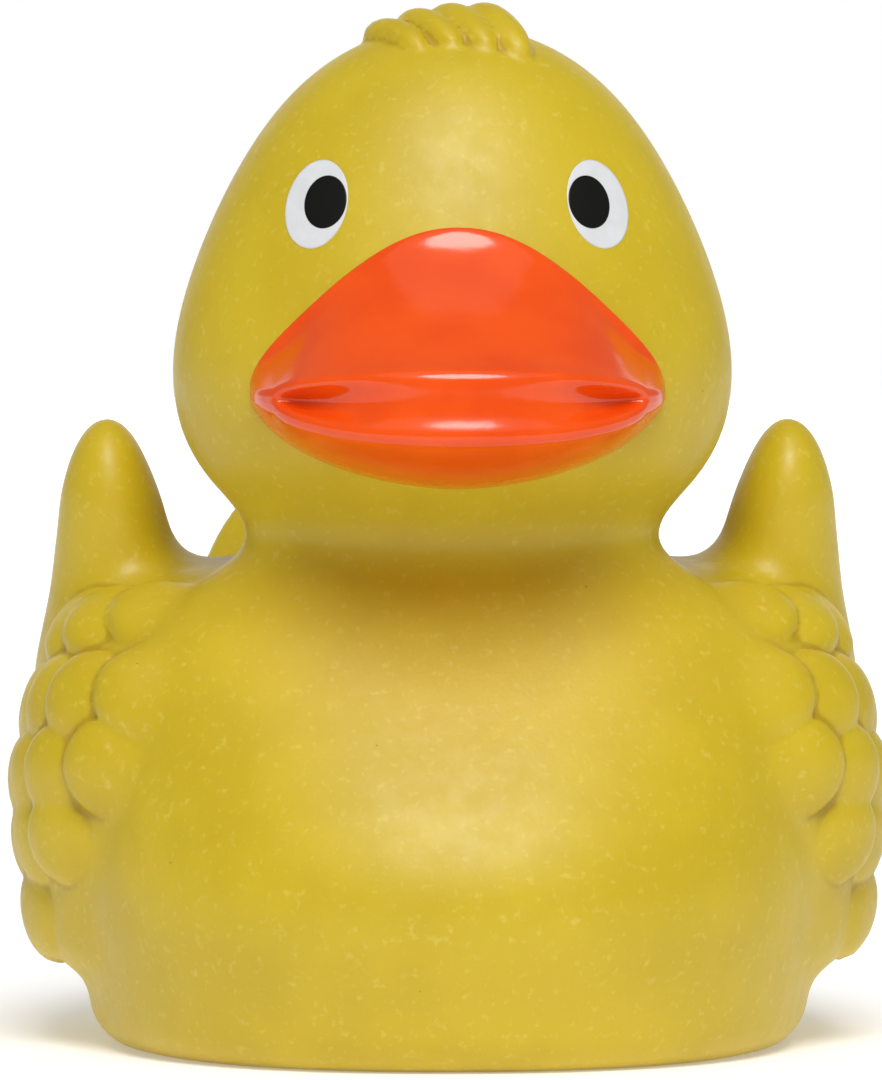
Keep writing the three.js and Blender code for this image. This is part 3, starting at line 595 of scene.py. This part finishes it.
def bill_ring(share):
    """Section of the bill at a share of its half width, from the upper root round both lips to the lower."""
    x = share * BILL_WIDTH / 2
    away = abs(share)
    ridge = BILL_RIDGE_RISE * (1 - away**2) ** BILL_RIDGE_BEND
    top = mouth + ridge + BILL_CORNER_RISE * math.sqrt(1 - away**BILL_CORNER_BEND)
    bottom = mouth - BILL_DROP * (1 - away**BILL_CHIN_BEND) ** BILL_CHIN_FALL
    top_face, bottom_face = face_at(x, top), face_at(x, bottom)
    margin = BILL_MARGIN * math.sin(math.pi * away**BILL_MARGIN_BEND) ** 2
    edge = (top_face - BILL_MARGIN_STEP, top)
    foot = (face_at(x, top - margin) - BILL_MARGIN_STEP, top - margin)
    upper_lip, lower_lip = bill_lips(away)
    path = [(top_face + BILL_ROOT_DEPTH / 2, top), edge, foot]
    path += upper_slope(foot, upper_lip[0], away)
    path += upper_lip
    path += mouth_face(upper_lip[-1], lower_lip[0], away)
    path += lower_lip
    path += underside(lower_lip[-1], bottom_face + BILL_ROOT_DEPTH / 2, bottom)
    behind = max(top_face, bottom_face) + BILL_ROOT_DEPTH
    outline = [*evenly(path, BILL_POINTS), (behind, bottom), (behind, top)]
    return [(x, y, z) for y, z in outline]


def build_bill():
    shares = BILL_END_SHARE * np.sin(math.pi * (np.arange(BILL_COLUMNS + 1) / BILL_COLUMNS - 0.5))
    rings = [bill_ring(share) for share in shares]
    around = len(rings[0])
    faces = []
    for row in range(BILL_COLUMNS):
        for i in range(around):
            a, b = row * around + i, row * around + (i + 1) % around
            faces.append((a, b, b + around, a + around))
    faces.append(tuple(range(around - 1, -1, -1)))
    faces.append(tuple(range(BILL_COLUMNS * around, (BILL_COLUMNS + 1) * around)))
    return smooth_piece("duck_bill", np.concatenate(rings), faces)


# How finely the eyes are divided
EYE_AROUND, EYE_RINGS = 96, 24


def build_print(name, hand, width, height, lean, inset, layer):
    """A printed oval that follows the face: a closed film of an even thickness."""
    x, z = EYE_SPREAD / 2, cheek + EYE_RISE

    def on_face(across, high):
        return np.array([across, face_at(across, high), high])

    def ring(row, step):
        return 1 + row * EYE_AROUND + step

    place = on_face(x, z)
    across = unit(on_face(x + NUDGE, z) - place)
    rise = unit(on_face(x, z + NUDGE) - place)
    out = unit(np.cross(across, rise))
    up = turned(rise - out * rise.dot(out), out, math.radians(lean))
    side = np.cross(up, out)
    place = place - side * inset
    turns = np.linspace(0, 2 * math.pi, EYE_AROUND, endpoint=False)
    shares = np.arange(1, EYE_RINGS + 1) / EYE_RINGS
    flat = [place]
    for share in shares:
        for turn in turns:
            spread = side * width / 2 * math.cos(turn) + up * height / 2 * math.sin(turn)
            flat.append(place + share * spread)
    points = np.array(flat)
    for _ in range(PRINT_FIT_STEPS):
        points = points + np.outer((points[:, 1] - face_at(points[:, 0], points[:, 2])) / -out[1], out)
    film = np.concatenate([points + out * layer * PRINT_LAYER, points - out * PRINT_DEPTH])
    count = len(points)
    faces = []
    for i in range(EYE_AROUND):
        j = (i + 1) % EYE_AROUND
        faces.append((0, ring(0, i), ring(0, j)))
        faces.append((count, count + ring(0, j), count + ring(0, i)))
        for row in range(EYE_RINGS - 1):
            a, b, c, d = ring(row, i), ring(row + 1, i), ring(row + 1, j), ring(row, j)
            faces.append((a, b, c, d))
            faces.append((count + d, count + c, count + b, count + a))
        a, b = ring(EYE_RINGS - 1, i), ring(EYE_RINGS - 1, j)
        faces.append((a, count + a, count + b, b))
    film[:, 0] *= hand
    if hand < 0:
        faces = [face[::-1] for face in faces]
    return smooth_piece(name, film, faces)


skin = build_skin()
bill = build_bill()
whites = []
pupils = []
for hand, side_name in ((1, "left"), (-1, "right")):
    whites.append(
        build_print(f"eye_white_{side_name}", hand, EYE_WIDTH, EYE_HEIGHT, EYE_LEAN, 0, 1)
    )
    pupils.append(build_print(
        f"pupil_{side_name}", hand, PUPIL_WIDTH, PUPIL_HEIGHT, PUPIL_LEAN, PUPIL_INSET, 2
    ))
for piece in (skin, bill, *whites, *pupils):
    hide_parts("duck")


# Sockets of the mix node that carry colours, and the share of a speck's size that has its full colour
MIX_FIRST, MIX_SECOND, MIX_RESULT = 6, 7, 2
SPECK_CORE = 0.5


class Nodes:
    """A material with short ways to add and join its nodes."""

    def __init__(self, name):
        self.material = bpy.data.materials.new(name)
        self.material.use_nodes = True
        self.tree = self.material.node_tree
        self.shader = self.tree.nodes["Principled BSDF"]
        self.place = self.add("ShaderNodeTexCoord").outputs["Object"]

    def add(self, kind, **settings):
        node = self.tree.nodes.new(kind)
        for key, value in settings.items():
            if key in node.inputs:
                self.put(node.inputs[key], value)
            else:
                setattr(node, key, value)
        return node

    def put(self, socket, value):
        if isinstance(value, bpy.types.NodeSocket):
            self.tree.links.new(value, socket)
        else:
            socket.default_value = value

    def set(self, **values):
        for key, value in values.items():
            self.put(self.shader.inputs[key.replace("_", " ")], value)

    def noise(self, scale, detail):
        node = self.add("ShaderNodeTexNoise", Scale=scale, Detail=detail)
        self.put(node.inputs["Vector"], self.place)
        return node.outputs["Fac"]

    def stretched(self, scale):
        node = self.add("ShaderNodeMapping")
        self.put(node.inputs["Vector"], self.place)
        node.inputs["Scale"].default_value = scale
        return node.outputs["Vector"]

    def ramp(self, value, low, high, low_value=0.0, high_value=1.0):
        node = self.add("ShaderNodeMapRange")
        node.interpolation_type = "SMOOTHSTEP"
        for index, part in enumerate((value, low, high, low_value, high_value)):
            self.put(node.inputs[index], part)
        return node.outputs[0]

    def math(self, operation, a, b):
        node = self.add("ShaderNodeMath", operation=operation)
        self.put(node.inputs[0], a)
        self.put(node.inputs[1], b)
        return node.outputs[0]

    def mixed(self, share, a, b):
        node = self.add("ShaderNodeMix", data_type="RGBA")
        self.put(node.inputs[0], share)
        self.put(node.inputs[MIX_FIRST], a)
        self.put(node.inputs[MIX_SECOND], b)
        return node.outputs[MIX_RESULT]

    def specks(self, scale, size, chance, vector=None):
        """Small round spots: one cell in some has a spot, as wide as a share of the cell."""
        node = self.add("ShaderNodeTexVoronoi", Scale=scale)
        self.put(node.inputs["Vector"], vector or self.place)
        split = self.add("ShaderNodeSeparateColor", Color=node.outputs["Color"])
        spot = self.ramp(node.outputs["Distance"], size, size * SPECK_CORE)
        return self.math("MULTIPLY", spot, self.math("LESS_THAN", split.outputs[0], chance))

    def bump(self, height, distance, strength):
        node = self.add("ShaderNodeBump", Height=height, Distance=distance, Strength=strength)
        return node.outputs["Normal"]


# Colours of the rubber, the lacquer and the prints, and of the painted shade that darkens the skin's grooves
SKIN_COLOUR = (0.61, 0.448, 0.015, 1)
SKIN_DEEP = (0.56, 0.405, 0.012, 1)
# Painted shade: the colour that grooves and notches between feathers and locks are darkened towards
SKIN_GROOVE_SHADE = (0.38, 0.23, 0.008, 1)
FLECK_DARK = (0.16, 0.085, 0.01, 1)
FLECK_PALE = (0.78, 0.66, 0.16, 1)
BILL_COLOUR = (0.88, 0.086, 0.003, 1)
BILL_DEEP = (0.82, 0.070, 0.002, 1)
WHITE_COLOUR = (0.70, 0.71, 0.72, 1)
WHITE_THIN = (0.55, 0.56, 0.57, 1)
PUPIL_COLOUR = (0.006, 0.006, 0.005, 1)
PUPIL_GAP = (0.45, 0.45, 0.43, 1)

# Finish of the skin: scales count waves or cells per metre, depths and the subsurface scale are in metres
MOTTLE_SCALE, MOTTLE_DETAIL, MOTTLE_LOW, MOTTLE_HIGH = 90, 4, 0.35, 0.65
DUST_SCALE, DUST_DETAIL, DUST_LOW, DUST_HIGH, DUST_SHARE = 1400, 3, 0.55, 0.8, 0.3
# Painted shade in the grooves: the hollowness where it starts and where it is darkest, and its darkest share
GROOVE_SHADE_LOW, GROOVE_SHADE_HIGH, GROOVE_SHADE_SHARE = 0.35, 1, 0.6
DARK_SCALE, DARK_SIZE, DARK_CHANCE, DARK_SHARE = 300, 0.03, 0.4, 0.75
PALE_SCALE, PALE_SIZE, PALE_CHANCE, PALE_SHARE = (620, 620, 380), 0.05, 0.4, 0.22
GRAIN_SCALE, GRAIN_DETAIL, GRAIN_DEPTH, GRAIN_STRENGTH = 2600, 2, 0.00004, 0.25
SATIN_SCALE, SATIN_DETAIL, SATIN_LOW, SATIN_HIGH = 500, 3, 0.3, 0.7
SKIN_SMOOTHEST, SKIN_ROUGHEST, SKIN_SPECULAR = 0.38, 0.46, 0.42
SUBSURFACE_WEIGHT, SUBSURFACE_SCALE, SUBSURFACE_RADIUS = 0.2, 0.0012, (1.0, 0.45, 0.08)

# Finish of the bill and the eyes
BILL_MOTTLE_SCALE = 160
RIPPLE_SCALE, RIPPLE_DETAIL, RIPPLE_DEPTH, RIPPLE_STRENGTH = 450, 2, 0.00010, 0.25
BILL_ROUGHNESS, BILL_SPECULAR = 0.14, 0.5
WHITE_SCALE, WHITE_DETAIL, WHITE_LOW, WHITE_HIGH, WHITE_SHARE = 600, 3, 0.3, 0.7, 0.3
WHITE_ROUGHNESS, WHITE_SPECULAR = 0.38, 0.35
GAP_SCALE, GAP_SIZE, GAP_CHANCE = 1500, 0.16, 0.10
PUPIL_ROUGHNESS, PUPIL_SPECULAR = 0.3, 0.2


def skin_material():
    nodes = Nodes("duck_skin_rubber")
    mottle = nodes.ramp(nodes.noise(MOTTLE_SCALE, MOTTLE_DETAIL), MOTTLE_LOW, MOTTLE_HIGH)
    colour = nodes.mixed(mottle, SKIN_DEEP, SKIN_COLOUR)
    dust = nodes.ramp(nodes.noise(DUST_SCALE, DUST_DETAIL), DUST_LOW, DUST_HIGH, 0, DUST_SHARE)
    colour = nodes.mixed(dust, colour, FLECK_PALE)
    # Painted shade: grooves and notches darken with how hollow the skin is there
    hollow = nodes.add("ShaderNodeAttribute", attribute_name="hollow").outputs["Fac"]
    groove_shade = nodes.ramp(hollow, GROOVE_SHADE_LOW, GROOVE_SHADE_HIGH, 0, GROOVE_SHADE_SHARE)
    colour = nodes.mixed(groove_shade, colour, SKIN_GROOVE_SHADE)
    dark = nodes.specks(DARK_SCALE, DARK_SIZE, DARK_CHANCE)
    pale = nodes.specks(1, PALE_SIZE, PALE_CHANCE, nodes.stretched(PALE_SCALE))
    colour = nodes.mixed(nodes.math("MULTIPLY", pale, PALE_SHARE), colour, FLECK_PALE)
    colour = nodes.mixed(nodes.math("MULTIPLY", dark, DARK_SHARE), colour, FLECK_DARK)
    grain = nodes.bump(nodes.noise(GRAIN_SCALE, GRAIN_DETAIL), GRAIN_DEPTH, GRAIN_STRENGTH)
    satin = nodes.noise(SATIN_SCALE, SATIN_DETAIL)
    roughness = nodes.ramp(satin, SATIN_LOW, SATIN_HIGH, SKIN_SMOOTHEST, SKIN_ROUGHEST)
    nodes.set(Base_Color=colour, Normal=grain, Roughness=roughness, Specular_IOR_Level=SKIN_SPECULAR)
    nodes.set(Subsurface_Weight=SUBSURFACE_WEIGHT, Subsurface_Scale=SUBSURFACE_SCALE)
    nodes.set(Subsurface_Radius=SUBSURFACE_RADIUS)
    return nodes.material


def bill_material():
    nodes = Nodes("bill_lacquer_orange")
    mottle = nodes.ramp(nodes.noise(BILL_MOTTLE_SCALE, MOTTLE_DETAIL), MOTTLE_LOW, MOTTLE_HIGH)
    colour = nodes.mixed(mottle, BILL_DEEP, BILL_COLOUR)
    ripple = nodes.bump(nodes.noise(RIPPLE_SCALE, RIPPLE_DETAIL), RIPPLE_DEPTH, RIPPLE_STRENGTH)
    nodes.set(Base_Color=colour, Normal=ripple, Roughness=BILL_ROUGHNESS, Specular_IOR_Level=BILL_SPECULAR)
    return nodes.material


def white_material():
    nodes = Nodes("eye_print_white")
    thin = nodes.ramp(nodes.noise(WHITE_SCALE, WHITE_DETAIL), WHITE_LOW, WHITE_HIGH, 0, WHITE_SHARE)
    colour = nodes.mixed(thin, WHITE_COLOUR, WHITE_THIN)
    nodes.set(Base_Color=colour, Roughness=WHITE_ROUGHNESS, Specular_IOR_Level=WHITE_SPECULAR)
    return nodes.material


def pupil_material():
    nodes = Nodes("eye_print_black")
    colour = nodes.mixed(nodes.specks(GAP_SCALE, GAP_SIZE, GAP_CHANCE), PUPIL_COLOUR, PUPIL_GAP)
    nodes.set(Base_Color=colour, Roughness=PUPIL_ROUGHNESS, Specular_IOR_Level=PUPIL_SPECULAR)
    return nodes.material


def dress(pieces, material):
    for piece in pieces:
        piece.data.materials.clear()
        piece.data.materials.append(material)


dress([skin], skin_material())
dress([bill], bill_material())
dress(whites, white_material())
dress(pupils, pupil_material())

# Pale floor, a white wall behind, dim surroundings and two soft lights from the front and above
FLOOR_SIZE = 60
FLOOR_COLOUR = (0.93, 0.93, 0.93, 1)
FLOOR_GLOW = 0.27
WALL_BACK, WALL_WIDTH, WALL_HEIGHT = 3, 4, 2
WALL_COLOUR = (0, 0, 0, 1)
WALL_GLOW = 1
STAGE_ROUGHNESS = 0.9
LIGHT_COLOUR = (1, 1, 1, 1)
SURROUND_LIGHT = 0.22
LAMP_AZIMUTH = 3
KEY_STRENGTH, KEY_WIDTH, KEY_ELEVATION = 2.1, 30, 49
TOP_STRENGTH, TOP_WIDTH, TOP_ELEVATION = 0.42, 66, 60


def towards(azimuth, elevation):
    """Direction in front of the duck, turned by an azimuth to its left and raised by an elevation."""
    side, rise = math.radians(azimuth), math.radians(elevation)
    return Vector((math.sin(side) * math.cos(rise), -math.cos(side) * math.cos(rise), math.sin(rise)))


def stage_plane(name, corners, colour, glow):
    """A flat piece of the studio with a colour and some light of its own."""
    mesh = bpy.data.meshes.new(name)
    mesh.from_pydata(corners, [], [(0, 1, 2, 3)])
    plane = bpy.data.objects.new(name, mesh)
    bpy.context.scene.collection.objects.link(plane)
    nodes = Nodes(name)
    nodes.set(Base_Color=colour, Roughness=STAGE_ROUGHNESS, Specular_IOR_Level=0)
    nodes.set(Emission_Color=LIGHT_COLOUR, Emission_Strength=glow)
    mesh.materials.append(nodes.material)


def build_studio():
    half = FLOOR_SIZE / 2
    floor = [(-half, -half, 0), (half, -half, 0), (half, half, 0), (-half, half, 0)]
    stage_plane("floor", floor, FLOOR_COLOUR, FLOOR_GLOW)
    side = WALL_WIDTH / 2
    wall = [(x, WALL_BACK, z) for x, z in ((-side, 0), (side, 0), (side, WALL_HEIGHT), (-side, WALL_HEIGHT))]
    stage_plane("wall", wall, WALL_COLOUR, WALL_GLOW)
    world = bpy.data.worlds.new("studio")
    world.use_nodes = True
    background = world.node_tree.nodes["Background"]
    background.inputs["Color"].default_value = LIGHT_COLOUR
    background.inputs["Strength"].default_value = SURROUND_LIGHT
    bpy.context.scene.world = world


def build_lamp(name, strength, width, elevation):
    """A soft far light that fills a round of the sky as wide as an angle."""
    lamp = bpy.data.lights.new(name, "SUN")
    lamp.energy = strength
    lamp.angle = math.radians(width)
    light = bpy.data.objects.new(name, lamp)
    bpy.context.scene.collection.objects.link(light)
    light.rotation_euler = towards(LAMP_AZIMUTH, elevation).to_track_quat("Z", "Y").to_euler()


build_studio()
build_lamp("key", KEY_STRENGTH, KEY_WIDTH, KEY_ELEVATION)
build_lamp("top", TOP_STRENGTH, TOP_WIDTH, TOP_ELEVATION)

# Camera at the photograph's angle, with a long lens
CAMERA_DISTANCE = 700 * MM
CAMERA_AZIMUTH = -1.8
CAMERA_ELEVATION = 2.0
CAMERA_AIM = Vector((-0.6, 0, 41.7)) * MM
CAMERA_LENS, CAMERA_SENSOR = 280, 36
CAMERA_NEAR, CAMERA_FAR = 0.01, 100


def build_camera():
    data = bpy.data.cameras.new("camera")
    data.lens = CAMERA_LENS
    data.sensor_width = CAMERA_SENSOR
    data.clip_start = CAMERA_NEAR
    data.clip_end = CAMERA_FAR
    camera = bpy.data.objects.new("camera", data)
    bpy.context.scene.collection.objects.link(camera)
    back = towards(CAMERA_AZIMUTH, CAMERA_ELEVATION)
    camera.location = CAMERA_AIM + back * CAMERA_DISTANCE
    camera.rotation_euler = back.to_track_quat("Z", "Y").to_euler()
    bpy.context.scene.camera = camera


build_camera()
bpy.context.scene.view_settings.view_transform = "Standard"
